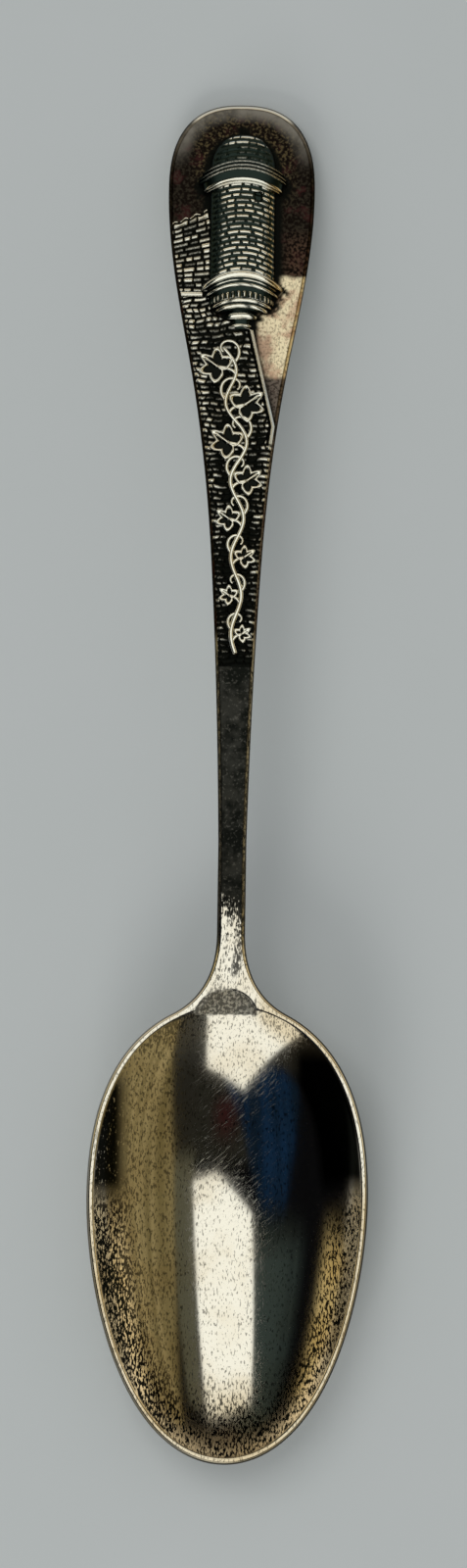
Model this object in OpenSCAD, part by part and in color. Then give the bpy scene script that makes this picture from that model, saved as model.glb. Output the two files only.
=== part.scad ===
// Souvenir teaspoon, struck in one piece of silver, lying face up on a table.
// +Y runs to the end of the handle, +X to the right, +Z up, and the table is z = 0.
// Every surface follows one set of functions, so neighbouring regions meet face to face.

/* [Whole spoon] */
// Length from the bowl's tip to the end of the handle
spoon_l = 146; // [140:1:152]

/* [Bowl] */
// Widest part of the bowl, over its rim
bowl_w = 30.1; // [27:0.1:33]
// Length of the egg-shaped bowl, without its neck
bowl_l = 49.8; // [47:0.1:53]
// Depth of the hollow below the rim
bowl_depth = 6.5; // [5.5:0.1:7.5]
// Thickness of the bowl's floor
floor_t = 0.85; // [0.7:0.05:1.1]
// Flat top of the rim
rim_w = 0.35; // [0.25:0.05:0.6]
// Bevel round the whole outline
bevel = 0.3; // [0.2:0.05:0.4]
// Half width of the facet where the stem's top drops into the hollow
shoulder_w = 3.3; // [2.8:0.1:4]

/* [Handle] */
// Narrowest width of the stem
neck_w = 3; // [2.8:0.1:3.6]
// Thickness of the stem next to the bowl
stem_t = 2.4; // [2:0.1:2.8]
// Widest part of the handle
handle_w = 15.7; // [14.5:0.1:17]
// Thickness of the handle's end
blade_t = 1.25; // [1.1:0.05:1.5]
// Fall of the flat handle end, in mm for each mm along
end_slope = 0.25; // [0.2:0.01:0.3]
// Length of the decorated part of the handle
blade_l = 60.6; // [58:0.1:63]

/* [Relief] */
// Height of the masonry wall above the handle's ground
wall_h = 0.35; // [0.25:0.05:0.5]
// Height of one course of stones in the wall
course_h = 0.6; // [0.55:0.05:0.9]
// Depth of the joints between the courses
joint_d = 0.12; // [0.05:0.01:0.2]
// Height of the turret's drum above the handle's ground
turret_h = 1.35; // [1:0.05:1.6]
// Height of the ivy above the wall
ivy_h = 0.2; // [0.1:0.05:0.3]

/* [Hidden] */

silver = [0.80, 0.79, 0.75];
dark_silver = [0.42, 0.40, 0.36];
bright_silver = [0.88, 0.87, 0.82];

// Places along the spoon
tip_y = -spoon_l / 2;
end_y = spoon_l / 2;
egg_a = bowl_l / 2;
egg_y = tip_y + egg_a;
neck_l = 7.2;
seam_y = egg_y + egg_a + neck_l;
blade_y = end_y - blade_l;
flat_l = 29;
flat_y = end_y - flat_l;
cap_l = 9.5;
cap_y = end_y - cap_l;

// The bowl's outline is an ellipse made fuller towards the neck by two terms
egg_k = 0.13;
egg_m = 0.106;
egg_b = 0.991 * bowl_w / 2;
neck_angle = 20;
edge_t = 0.55;
under_depth = bowl_depth + floor_t - edge_t;
hollow_k = 0.8;
hollow_end = sqrt(1 - hollow_k * hollow_k);
rim_inset = bevel + rim_w;

// The rim rises towards the neck, and its height lets a small worn flat touch the table
rim_rise = 1.7;
rim_curl = 0.6;
worn_flat = 0.05;
under_curl = rim_curl + under_depth * hollow_k * hollow_k / (2 * (1 - hollow_end));
rim_mid_z = edge_t + under_depth + rim_rise * rim_rise / (4 * under_curl) - worn_flat;

// Half width of the handle at shares of its length: [share, share of the flare, slope]
FLARE = [[0.11, 0, 0.02], [0.45, 0.19, 0.065], [0.70, 0.64, 0.20], [0.893, 1, 0]];
cap_power = 2.5;
end_flat = 0.5;

// Plan numbers of the turret and the wall, measured back from the handle's end
turret_x = 0.12;
turret_foot = 0.12;
drum_r = 3.53;
turret_squash = turret_h / drum_r;
crown_power = 3.6;
gap = 0.02;
ledge_y = end_y - 21;
ledge_l = 0.75;
ledge_h = 0.8;
parapet_h = 0.6;
pendant_y = end_y - 24.4;
coping_low = [4.2, end_y - 35.9];
coping_high = [1.4, end_y - 24.5];

function ease(t) = let (c = min(1, max(0, t))) c * c * (3 - 2 * c);
function mix(a, b, t) = a + (b - a) * t;
function hermite(p0, s0, p1, s1, l, t) =
    p0 * (2 * t * t * t - 3 * t * t + 1) + s0 * l * (t * t * t - 2 * t * t + t)
    + p1 * (3 * t * t - 2 * t * t * t) + s1 * l * (t * t * t - t * t);

// ---- Heights -------------------------------------------------------------

function eta(y) = (y - egg_y) / egg_a;
function rim_z(y) = rim_mid_z + rim_rise * eta(y) + rim_curl * eta(y) * eta(y);
function rim_slope(y) = (rim_rise + 2 * rim_curl * eta(y)) / egg_a;
function arch_z(y) =
    hermite(rim_z(seam_y), rim_slope(seam_y), blade_t + end_slope * flat_l, -end_slope,
            flat_y - seam_y, (y - seam_y) / (flat_y - seam_y));
function top_z(y) =
    y < seam_y ? rim_z(y) : y < flat_y ? arch_z(y) : blade_t + end_slope * (end_y - y);

function fullness(e) = 1 + egg_k * e + egg_m * e * e;
function egg_radius(x, y, inset) =
    let (e = (y - egg_y) / (egg_a - inset), q = x / ((egg_b - inset) * fullness(e)))
    sqrt(q * q + e * e);
function hollow(r) =
    r > 1 ? 0 : (sqrt(1 - hollow_k * hollow_k * r * r) - hollow_end) / (1 - hollow_end);

// The facet runs from an arc across the stem's top to a straight line at the hollow's end
shoulder_x = -0.43;
shoulder_top = seam_y - 6;
shoulder_line = seam_y - 8.7;
function shoulder_arc(x) =
    (shoulder_top - shoulder_line) * sqrt(max(0, 1 - pow((x - shoulder_x) / shoulder_w, 2)));
function shoulder(x, y) =
    y < shoulder_line || shoulder_arc(x) < 0.05 ? 0
    : bowl_depth * hollow(egg_radius(x, shoulder_line, rim_inset))
      * max(0, 1 - (y - shoulder_line) / shoulder_arc(x));
function bowl_top(x, y) =
    rim_z(y) - max(bowl_depth * hollow(egg_radius(x, y, rim_inset)), shoulder(x, y));

// Side height and full thickness of the stem and blade
side_share = 0.62;
function blade_share(y) = ease((y - seam_y) / (flat_y - seam_y));
function full_t(y) = mix(stem_t, blade_t, blade_share(y));
function side_t(y) =
    y < seam_y ? mix(edge_t, side_share * stem_t, ease((y - seam_y + neck_l + 4) / (neck_l + 4)))
               : full_t(y) * mix(side_share, 1, blade_share(y));

// The stem's rounded back runs on under the bowl as a short heel
heel_l = 16;
heel_w = 1.4;
function heel_fade(y) = y > seam_y ? 1 : sqrt(max(0, 1 - pow((seam_y - y) / heel_l, 2)));
function back_round(x, y) =
    sqrt(max(0, 1 - pow(x / (half_w(min(end_y, max(y, seam_y))) + heel_w * (1 - heel_fade(y))), 2)));
function keel(x, y) = (full_t(max(y, seam_y)) - side_t(y)) * heel_fade(y) * back_round(x, y);
function under_z(x, y) =
    max(0, top_z(y) - side_t(y)
        - max(keel(x, y), y < seam_y ? under_depth * hollow(egg_radius(x, y, 0)) : 0));

// ---- Outline -------------------------------------------------------------

function flare_y(i) = seam_y + FLARE[i][0] * (end_y - seam_y);
function flare_w(i) = neck_w / 2 + FLARE[i][1] * (handle_w - neck_w) / 2;
function flare_part(y, i) =
    y < flare_y(i + 1) || i == len(FLARE) - 2
    ? let (l = flare_y(i + 1) - flare_y(i))
      hermite(flare_w(i), FLARE[i][2], flare_w(i + 1), FLARE[i + 1][2], l, (y - flare_y(i)) / l)
    : flare_part(y, i + 1);
function cap_w(y) =
    handle_w / 2 * pow(max(0, 1 - pow((y - cap_y) / cap_l, cap_power)), 1 / cap_power);
function half_w(y) =
    y <= flare_y(0) ? neck_w / 2
    : y < cap_y ? flare_part(min(y, flare_y(3)), 0)
    : max(end_flat, cap_w(y));
function deck_w(y) = half_w(y) - bevel;

// Bowl outline: a quarter-turn curve down the neck, then the egg round to the tip
function egg_point(a) = [egg_b * fullness(cos(a)) * sin(a), egg_y + egg_a * cos(a)];
function egg_tangent(a) = egg_point(a + 0.5) - egg_point(a - 0.5);
neck_end = egg_point(neck_angle);
neck_dir = egg_tangent(neck_angle);
neck_bend = [neck_w / 2, neck_end[1] + neck_dir[1] * (neck_w / 2 - neck_end[0]) / neck_dir[0]];
function neck_point(t) =
    (1 - t) * (1 - t) * [neck_w / 2, seam_y] + 2 * t * (1 - t) * neck_bend + t * t * neck_end;

// Each row of a mesh is [point on the outline, place of its inner end on the centre line]
neck_rows = 8;
egg_rows = 38;
spine_high = neck_end[1] - 2.3;
spine_low = tip_y + 11;
function neck_row(t) = [neck_point(t), neck_point(t)[1] + (spine_high - neck_end[1]) * t * t];
function egg_row(t) =
    [egg_point(mix(neck_angle, 180, t)), mix(spine_high, spine_low, pow(t, 0.7))];
BOWL_ROWS = concat([for (i = [0:neck_rows - 1]) neck_row(i / neck_rows)],
                   [for (i = [0:egg_rows]) egg_row(i / egg_rows)]);

function straight_rows(y0, y1, n) = [for (i = [0:n]) let (y = mix(y0, y1, i / n)) [[half_w(y), y], y]];
cap_rows = 14;
cap_spine = end_y - 6;
function cap_row(t) =
    let (y = cap_y + cap_l * pow(sin(90 * t), 2 / cap_power))
    [[t == 1 ? 0 : half_w(y), y], mix(cap_y, cap_spine, t)];
function but_last(v) = [for (i = [0:len(v) - 2]) v[i]];
STEM_ROWS = straight_rows(seam_y, blade_y, 20);
BLADE_ROWS = concat(but_last(straight_rows(blade_y, flat_y, 20)),
                    but_last(straight_rows(flat_y, cap_y, 12)),
                    [for (i = [0:cap_rows]) cap_row(i / cap_rows)]);

// The handle's ground, as straight between its rows as the blade itself is
DECK = [for (row = concat(STEM_ROWS, BLADE_ROWS)) let (y = row[0][1])
        if (y <= flat_y + 0.001) [y, top_z(y)]];
function deck_z(y) = y > flat_y ? top_z(y) : lookup(y, DECK);

// ---- Meshes --------------------------------------------------------------

function unit(v) = v / norm(v);
function inward(rows, i) =
    i == 0 || (i == len(rows) - 1 && rows[i][0][0] > 0) ? [-1, 0]
    : i == len(rows) - 1 ? [0, -sign(rows[i][0][1] - rows[i - 1][0][1])]
    : let (d = rows[i + 1][0] - rows[i - 1][0], n = unit([-d[1], d[0]])) n[0] > 0 ? -n : n;

// One row from the outline to the centre line: edge, bevel, rim, then even steps
function row_point(rows, i, j, m) =
    let (o = rows[i][0], n = inward(rows, i), inner = [0, rows[i][1]], p = o + rim_inset * n)
    j == 0 ? o : j == 1 ? o + bevel * n : mix([max(0, p[0]), p[1]], inner, (j - 2) / (m - 2));
function triangles(a, b, c, d) = [[a, b, c], [a, c, d]];
function other_triangles(a, b, c, d) = [[a, b, d], [b, c, d]];
function cell(a, b, c, d, left) = left ? triangles(a, b, c, d) : other_triangles(a, b, c, d);
function flat_list(v) = [for (group = v) for (item = group) item];

// Closed solid over rows that run from one side to the other, with flat ends or a round tip
module spoon_solid(rows, m, hollowed, tip) {
    n = len(rows) - 1;
    wide = 2 * m + 1;
    count = tip ? n * wide + m + 1 : (n + 1) * wide;
    plan = [for (i = [0:n]) [for (j = [0:m]) row_point(rows, i, j, m)]];
    function place(i, k) = let (p = plan[i][k <= m ? k : wide - 1 - k]) k <= m ? [-p[0], p[1]] : p;
    function id(i, k) = i * wide + (tip && i == n && k > m ? wide - 1 - k : k);
    function upper(p, edge) =
        [p[0], p[1], (hollowed ? bowl_top(p[0], p[1]) : top_z(p[1])) - (edge ? bevel : 0)];
    cells = [for (i = [0:n]) for (k = [0:(tip && i == n ? m : wide - 1)]) [i, k]];
    tops = [for (c = cells) upper(place(c[0], c[1]), c[1] == 0 || c[1] == wide - 1)];
    unders = [for (c = cells) let (p = place(c[0], c[1])) [p[0], p[1], under_z(p[0], p[1])]];
    skin = flat_list([for (i = [0:n - 1]) for (k = [0:wide - 2])
        let (c = cell(id(i, k), id(i + 1, k), id(i + 1, k + 1), id(i, k + 1), k < m))
        concat(c, [for (f = c) [count + f[2], count + f[1], count + f[0]]])]);
    sides = flat_list([for (i = [0:n - 1])
        concat(triangles(id(i, 0), count + id(i, 0), count + id(i + 1, 0), id(i + 1, 0)),
               triangles(id(i + 1, wide - 1), count + id(i + 1, wide - 1),
                         count + id(i, wide - 1), id(i, wide - 1)))]);
    ends = flat_list([for (i = tip ? [0] : [0, n]) for (k = [0:wide - 2])
        let (t = triangles(id(i, k), id(i, k + 1), count + id(i, k + 1), count + id(i, k)))
        i == 0 ? t : [for (f = t) [f[2], f[1], f[0]]]]);
    forward = rows[1][0][1] > rows[0][0][1];
    faces = concat(skin, sides, ends);
    polyhedron(concat(tops, unders), forward ? faces : [for (f = faces) [f[2], f[1], f[0]]]);
}

// Closed solid over a grid of [x, y, height above base], standing on the given base height
module patch(grid, base) {
    nu = len(grid[0]);
    nv = len(grid);
    count = nu * nv;
    all_points = flat_list(grid);
    tops = [for (p = all_points) [p[0], p[1], deck_z(p[1]) + base + p[2]]];
    feet = [for (p = all_points) [p[0], p[1], deck_z(p[1]) + base]];
    skin = flat_list([for (v = [0:nv - 2]) for (u = [0:nu - 2])
        let (a = v * nu + u, b = a + nu)
        concat(triangles(a, b, b + 1, a + 1),
               triangles(count + a, count + a + 1, count + b + 1, count + b))]);
    rim = concat([for (u = [0:nu - 1]) u],
                 [for (v = [1:nv - 1]) v * nu + nu - 1],
                 [for (u = [nu - 2:-1:0]) (nv - 1) * nu + u],
                 [for (v = [nv - 2:-1:1]) v * nu]);
    last = len(rim) - 1;
    walls = flat_list([for (i = [0:last])
        let (a = rim[i], b = rim[i == last ? 0 : i + 1]) triangles(a, b, count + b, count + a)]);
    polyhedron(concat(tops, feet), concat(skin, walls));
}

// ---- Plain regions -------------------------------------------------------

module bowl() {
    color(silver) spoon_solid(BOWL_ROWS, 11, true, true);
}

module stem() {
    color(silver) spoon_solid(STEM_ROWS, 5, false, false);
}

module handle_blade() {
    color(silver) spoon_solid(BLADE_ROWS, 5, false, true);
}

// ---- Wall ----------------------------------------------------------------

// Right end of the wall: the blade's edge, then the slanted coping, then the turret's foot
function wall_right(y) =
    y >= pendant_y ? turret_x - lookup(y, [[pendant_y, 1.3], [end_y - 23.3, 1.95],
                                           [end_y - 22.6, 3.5], [ledge_y, 4.3]])
    : y > coping_low[1] ? mix(coping_low[0], coping_high[0],
                              (y - coping_low[1]) / (coping_high[1] - coping_low[1]))
    : min(deck_w(y), coping_low[0]);

rows_per_course = 4;
module wall_panel() {
    courses = floor((ledge_y - gap - blade_y) / course_h);
    n = courses * rows_per_course;
    step = (ledge_y - gap - blade_y) / n;
    color(dark_silver)
        patch([for (i = [0:n])
            let (y = blade_y + i * step, h = wall_h - (i % rows_per_course == 0 ? joint_d : 0))
            [[-deck_w(y), y, h], [wall_right(y), y, h]]], 0);
}

module parapet_wall() {
    low = ledge_y + ledge_l + gap;
    high = [end_y - 13.1, end_y - 11.6];
    n = 9;
    color(dark_silver)
        patch([for (i = [0:n]) [for (u = [0:3])
            let (y = mix(low, mix(high[0], high[1], u / 3), i / n),
                 left = -deck_w(y), right = turret_x - mix(4.35, 4.0, i / n))
            [mix(left, right, u / 3), y, parapet_h]]], 0);
}

module parapet_ledge() {
    n = 6;
    color(bright_silver)
        patch([for (i = [0:n]) [for (u = [0, 1])
            let (y = ledge_y + ledge_l * i / n, left = -deck_w(y), right = turret_x - 4.4)
            [mix(left, right, u), y, ledge_h * mix(0.6, 1, sin(180 * i / n))]]], 0);
}

// ---- Turret --------------------------------------------------------------

// A round of the turret: rows of [distance back from the end, half width], each a flattened arch
function turret_arch(b) =
    lookup(b, [[3, 0.08], [8.5, 0.078], [18, 0.09], [21, 0.087], [24.4, 0.08]]);
function crown(u) = pow(max(0, 1 - pow(abs(u), crown_power)), 1 / crown_power);
function turret_row(row, u, up) =
    let (x = row[1] * u, y = end_y - row[0] + up - turret_arch(row[0]) * x * x)
    [turret_x + x, y, turret_foot + turret_squash * row[1] * crown(u)];

module turret_round(rows) {
    n = 16;
    last = len(rows) - 1;
    patch([for (i = [last:-1:0]) [for (k = [0:n])
        turret_row(rows[i], -cos(180 * k / n), i == last ? gap : 0)]], 0);
}

dome_b = 3.15;
dome_l = 2.95;
dome_r = 3.5;
dome_power = 2.5;
function dome_row(t) =
    [dome_b + dome_l * t, dome_r * pow(1 - pow(1 - t, dome_power), 1 / dome_power)];
module turret_dome() {
    color(silver) turret_round([for (t = [0.01, 0.06, 0.15, 0.3, 0.5, 0.75, 1]) dome_row(t)]);
}

module turret_cornice() {
    color(bright_silver) turret_round([
        [6.1, 3.8], [6.18, 4.4], [6.4, 4.3], [6.6, 4.75], [6.8, 4.6], [7.0, 4.75],
        [7.15, 4.55], [7.9, 4.3], [8.0, 4.0], [8.12, 4.22], [8.3, 3.85], [8.48, 3.95],
        [8.56, 3.6]]);
}

module turret_drum() {
    color(silver) turret_round([
        [8.56, drum_r], [11.7, drum_r], [14.9, drum_r], [18.12, drum_r]]);
}

module turret_corbel() {
    color(bright_silver) turret_round([
        [18.12, 3.8], [18.2, 4.3], [18.5, 4.4], [18.8, 4.3], [18.92, 3.66], [19.4, 3.65],
        [19.52, 3.9], [19.8, 3.9], [19.95, 3.45], [20.35, 3.4], [20.65, 3.5], [20.95, 3.1],
        [21.2, 3.2], [21.4, 3.15], [21.6, 2.75], [21.9, 2.88], [22.1, 2.4], [22.3, 2.1]]);
}

module turret_pendant() {
    color(bright_silver) turret_round([
        [22.3, 1.25], [22.5, 1.4], [22.65, 1.72], [23.15, 1.72], [23.35, 1.1], [23.75, 0.95],
        [23.9, 1.12], [24.1, 1.12], [24.2, 0.85], [24.4, 0.75]]);
}

// ---- Ivy -----------------------------------------------------------------

// The vine climbs midway between the wall's two sides and sways away from each leaf
vine_from = blade_y + 1.4;
vine_to = end_y - 26.5;
vine_w = 0.5;
leaf_count = 8;
lift = 0.005;
function wall_middle(y) = (wall_right(y) - deck_w(y)) / 2;
function wall_room(y) = (wall_right(y) + deck_w(y)) / 2;
function vine_turns(y) = leaf_count / 2 * (y - vine_from) / (vine_to - vine_from);
function vine_x(y) = wall_middle(y) - 0.25 * wall_room(y) * sin(360 * vine_turns(y));

module ivy_stem() {
    n = 72;
    color(bright_silver)
        patch([for (i = [0:n])
            let (y = mix(vine_from, vine_to, i / n), w = vine_w * mix(1, 0.4, i / n))
            [for (u = [-1, 0, 1]) [vine_x(y) + u * w / 2, y, ivy_h * (u == 0 ? 1 : 0.5)]]],
            wall_h + lift);
}

// Five-pointed ivy leaf: [angle from its tip, share of its length], one side
LEAF = [[0, 1], [24, 0.62], [50, 0.92], [78, 0.58], [112, 0.8], [150, 0.52], [180, 0.3]];
function leaf_outline(turn, size) =
    [for (side = [-1, 1]) for (i = [0:len(LEAF) - 1])
        let (k = side < 0 ? i : len(LEAF) - 1 - i)
        if (side < 0 || (k > 0 && k < len(LEAF) - 1))
            let (a = turn + side * LEAF[k][0]) size * LEAF[k][1] * [cos(a), sin(a)]];

module ivy_leaf(at, turn, size) {
    outline = leaf_outline(turn, size);
    n = len(outline);
    base = wall_h + lift;
    function lay(p, h) = [at[0] + p[0], at[1] + p[1], deck_z(at[1] + p[1]) + base + h];
    rim_up = [for (p = outline) lay(p, 0.5 * ivy_h)];
    rim_down = [for (p = outline) lay(p, 0)];
    points = concat(rim_up, rim_down, [lay([0, 0], ivy_h), lay([0, 0], 0)]);
    faces = flat_list([for (i = [0:n - 1]) let (j = (i + 1) % n)
        concat([[i, 2 * n, j], [n + j, 2 * n + 1, n + i]], triangles(i, j, n + j, n + i))]);
    polyhedron(points, faces);
}

// Leaves alternate on both sides of the vine and grow with the handle's width
module ivy_leaves() {
    color(bright_silver)
        for (i = [0:leaf_count - 1]) {
            y = mix(vine_from, vine_to, (i + 0.5) / leaf_count);
            side = i % 2 == 0 ? 1 : -1;
            size = 0.66 * wall_room(y) - 0.08;
            ivy_leaf([vine_x(y) + side * (0.25 + 0.72 * size), y], side > 0 ? 35 : 145, size);
        }
}

bowl();
stem();
handle_blade();
wall_panel();
parapet_wall();
parapet_ledge();
turret_dome();
turret_cornice();
turret_drum();
turret_corbel();
turret_pendant();
ivy_stem();
ivy_leaves();
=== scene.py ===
"""Looks of the souvenir spoon: silver surfaces, struck masonry relief, ivy and studio light."""
import math

import bmesh
import bpy
import numpy as np
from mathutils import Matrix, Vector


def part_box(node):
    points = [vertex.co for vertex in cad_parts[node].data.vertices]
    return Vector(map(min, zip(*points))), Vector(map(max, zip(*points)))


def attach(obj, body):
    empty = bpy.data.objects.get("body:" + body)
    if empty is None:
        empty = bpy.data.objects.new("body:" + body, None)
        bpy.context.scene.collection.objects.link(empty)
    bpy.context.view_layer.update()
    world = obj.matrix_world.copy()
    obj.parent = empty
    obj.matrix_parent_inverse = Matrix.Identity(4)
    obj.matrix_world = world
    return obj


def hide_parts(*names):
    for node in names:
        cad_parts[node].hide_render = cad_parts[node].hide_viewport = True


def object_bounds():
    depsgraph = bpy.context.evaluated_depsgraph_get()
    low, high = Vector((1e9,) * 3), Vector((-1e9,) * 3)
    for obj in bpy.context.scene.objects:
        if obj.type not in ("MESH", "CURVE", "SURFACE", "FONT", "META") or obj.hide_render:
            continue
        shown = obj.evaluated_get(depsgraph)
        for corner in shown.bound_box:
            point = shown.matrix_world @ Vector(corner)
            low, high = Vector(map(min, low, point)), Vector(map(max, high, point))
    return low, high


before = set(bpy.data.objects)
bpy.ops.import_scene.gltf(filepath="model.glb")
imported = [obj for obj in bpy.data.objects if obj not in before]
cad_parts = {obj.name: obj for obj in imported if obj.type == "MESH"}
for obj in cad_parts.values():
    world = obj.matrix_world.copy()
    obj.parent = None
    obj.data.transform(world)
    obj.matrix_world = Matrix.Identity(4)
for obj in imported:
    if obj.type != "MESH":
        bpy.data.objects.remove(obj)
cad_low, cad_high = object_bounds()

MM = 0.001  # the spoon is worked out in millimetres and scaled once, in make_piece()


# ---- Places taken from the frame -------------------------------------------------------

def node_y(node, end):
    """Lowest (end 0) or highest (end 1) Y of a CAD node, in millimetres."""
    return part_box(node)[end].y / MM


tip_y = node_y("bowl", 0)
seam_y = node_y("stem", 0)
blade_y = node_y("handle_blade", 0)
end_y = node_y("handle_blade", 1)
bowl_w = (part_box("bowl")[1].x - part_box("bowl")[0].x) / MM
handle_w = (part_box("handle_blade")[1].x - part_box("handle_blade")[0].x) / MM

# ---- Shape of the spoon, as in part.scad -----------------------------------------------

neck_w = 3.0
bevel = 0.3
rim_w = 0.35
rim_inset = bevel + rim_w
bowl_depth = 6.5
floor_t = 0.85
edge_t = 0.55
stem_t = 2.4
blade_t = 1.25
end_slope = 0.25
flat_y = end_y - 29
cap_l = 9.5
cap_y = end_y - cap_l
cap_power = 2.5
neck_l = 7.2
egg_a = (seam_y - neck_l - tip_y) / 2
egg_y = tip_y + egg_a
egg_b = 0.991 * bowl_w / 2
egg_k = 0.13
egg_m = 0.106
neck_angle = math.radians(20)
under_depth = bowl_depth + floor_t - edge_t
hollow_k = 0.8
hollow_end = math.sqrt(1 - hollow_k**2)
rim_rise = 1.7
rim_curl = 0.6
worn_flat = 0.05
under_curl = rim_curl + under_depth * hollow_k**2 / (2 * (1 - hollow_end))
rim_mid_z = edge_t + under_depth + rim_rise**2 / (4 * under_curl) - worn_flat
shoulder_w = 3.3
shoulder_x = -0.43
shoulder_top = seam_y - 6.0
shoulder_line = seam_y - 8.7
side_share = 0.62
heel_l = 16.0
heel_w = 1.4
FLARE = [(0.11, 0.0, 0.02), (0.45, 0.19, 0.065), (0.70, 0.64, 0.20), (0.893, 1.0, 0.0)]


def smoothstep(t):
    t = np.clip(t, 0, 1)
    return t * t * (3 - 2 * t)


def ramp(value, low, high):
    """0 below low, 1 above high, smooth between; low may be the larger of the two."""
    return smoothstep((np.asarray(value, float) - low) / (high - low))


def mix(a, b, t):
    return a + (b - a) * t


def smooth_max(a, b, soft):
    return (a + b + np.sqrt((a - b) ** 2 + soft**2)) / 2


def hermite(p0, s0, p1, s1, length, t):
    return (p0 * (2 * t**3 - 3 * t**2 + 1) + s0 * length * (t**3 - 2 * t**2 + t)
            + p1 * (3 * t**2 - 2 * t**3) + s1 * length * (t**3 - t**2))


def rim_z(y):
    e = (y - egg_y) / egg_a
    return rim_mid_z + rim_rise * e + rim_curl * e * e


def rim_slope(y):
    return (rim_rise + 2 * rim_curl * (y - egg_y) / egg_a) / egg_a


def top_z(y):
    """Height of the rim line, then of the stem's and blade's flat top."""
    y = np.asarray(y, float)
    span = flat_y - seam_y
    arch = hermite(rim_z(seam_y), rim_slope(seam_y), blade_t + end_slope * (end_y - flat_y),
                   -end_slope, span, (y - seam_y) / span)
    return np.where(y < seam_y, rim_z(y), np.where(y < flat_y, arch, blade_t + end_slope * (end_y - y)))


def fullness(e):
    return 1 + egg_k * e + egg_m * e * e


def egg_radius(x, y, inset):
    e = (y - egg_y) / (egg_a - inset)
    return np.sqrt((x / ((egg_b - inset) * fullness(e))) ** 2 + e * e)


def hollow(r):
    """1 at the bowl's middle, 0 at its rim, and falling on in a straight line outside it."""
    inside = (np.sqrt(1 - (hollow_k * np.minimum(r, 1)) ** 2) - hollow_end) / (1 - hollow_end)
    fall = hollow_k**2 / (hollow_end * (1 - hollow_end))
    return np.where(r > 1, -fall * (r - 1), inside)


def shoulder_share(x, y):
    """0 on the arc where the stem's top ends, 1 on the straight line where the hollow begins."""
    bow = np.sqrt(np.clip(1 - ((x - shoulder_x) / shoulder_w) ** 2, 0, 1))
    arc = shoulder_line + (shoulder_top - shoulder_line) * bow
    return (arc - y) / np.maximum(arc - shoulder_line, 0.05)


def bowl_top(x, y):
    dish = bowl_depth * hollow(egg_radius(x, y, rim_inset))
    foot = bowl_depth * hollow(egg_radius(x, shoulder_line, rim_inset))
    facet = foot * shoulder_share(x, y)
    facet = np.where((y > shoulder_line) & (np.abs(x - shoulder_x) < shoulder_w), facet, -1)
    return rim_z(y) - smooth_max(smooth_max(dish, facet, 0.03), 0, 0.04) + 0.02


def blade_share(y):
    return ramp(y, seam_y, flat_y)


def full_t(y):
    return mix(stem_t, blade_t, blade_share(y))


def side_t(y):
    neck = mix(edge_t, side_share * stem_t, ramp(y, seam_y - neck_l - 4, seam_y))
    return np.where(y < seam_y, neck, full_t(y) * mix(side_share, 1, blade_share(y)))


def half_w(y):
    """Half width of the handle."""
    y = np.asarray(y, float)
    places = [seam_y + f[0] * (end_y - seam_y) for f in FLARE]
    widths = [neck_w / 2 + f[1] * (handle_w - neck_w) / 2 for f in FLARE]
    w = np.full_like(y, widths[0])
    for i in range(len(FLARE) - 1):
        length = places[i + 1] - places[i]
        t = np.clip((y - places[i]) / length, 0, 1)
        part = hermite(widths[i], FLARE[i][2], widths[i + 1], FLARE[i + 1][2], length, t)
        w = np.where(y > places[i], part, w)
    along = np.clip((y - cap_y) / cap_l, 0, 1)
    return np.where(y > cap_y, handle_w / 2 * (1 - along**cap_power) ** (1 / cap_power), w)


def under_z(x, y):
    fade = np.where(y > seam_y, 1, np.sqrt(np.clip(1 - ((seam_y - y) / heel_l) ** 2, 0, 1)))
    back_w = half_w(np.clip(y, seam_y, end_y)) + heel_w * (1 - fade) + 1e-6
    back = np.sqrt(np.clip(1 - (x / back_w) ** 2, 0, 1))
    keel = (full_t(np.maximum(y, seam_y)) - side_t(y)) * fade * back
    dish = np.where(y < seam_y, under_depth * hollow(egg_radius(x, y, 0)), 0)
    z = top_z(y) - side_t(y) - smooth_max(keel, np.maximum(dish, 0), 0.02)
    return np.maximum(0, z)


# ---- Meshes ----------------------------------------------------------------------------

def make_piece(name, node, material, points, faces, values, sharp=()):
    """Mesh object from points in millimetres, standing for a CAD node and riding on the one body.

    values are per-point numbers that the material reads; sharp lists edges as pairs of points.
    """
    work = bmesh.new()
    layers = {key: work.verts.layers.float.new(key) for key in values}
    verts = [work.verts.new(p) for p in (np.asarray(points) * MM).tolist()]
    for key, layer in layers.items():
        for vert, value in zip(verts, np.asarray(values[key], float).tolist()):
            vert[layer] = value
    for face in faces:
        work.faces.new([verts[i] for i in face]).smooth = True
    for a, b in sharp:
        work.edges.get((verts[a], verts[b])).smooth = False
    bmesh.ops.remove_doubles(work, verts=work.verts, dist=1e-7)
    bmesh.ops.recalc_face_normals(work, faces=work.faces)
    mesh = bpy.data.meshes.new(name)
    work.to_mesh(mesh)
    work.free()
    mesh.materials.append(material)
    piece = bpy.data.objects.new(name, mesh)
    bpy.context.scene.collection.objects.link(piece)
    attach(piece, "root")
    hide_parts(node)
    return piece


def neighbours(line):
    return list(zip(line, line[1:]))


# Columns across half a section: steps in from the outline, then even steps to the centre line
EDGE_STEPS = np.array([0, 0.04, 0.1, 0.17, 0.24, 0.3, 0.37, 0.44, 0.52, 0.6, 0.66, 0.75])
inner_steps = 34
foot_round = 0.2
neck_bevel = 0.42
UNDER_INSET = 9.0  # points of the underside count as this far in from the outline


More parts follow.
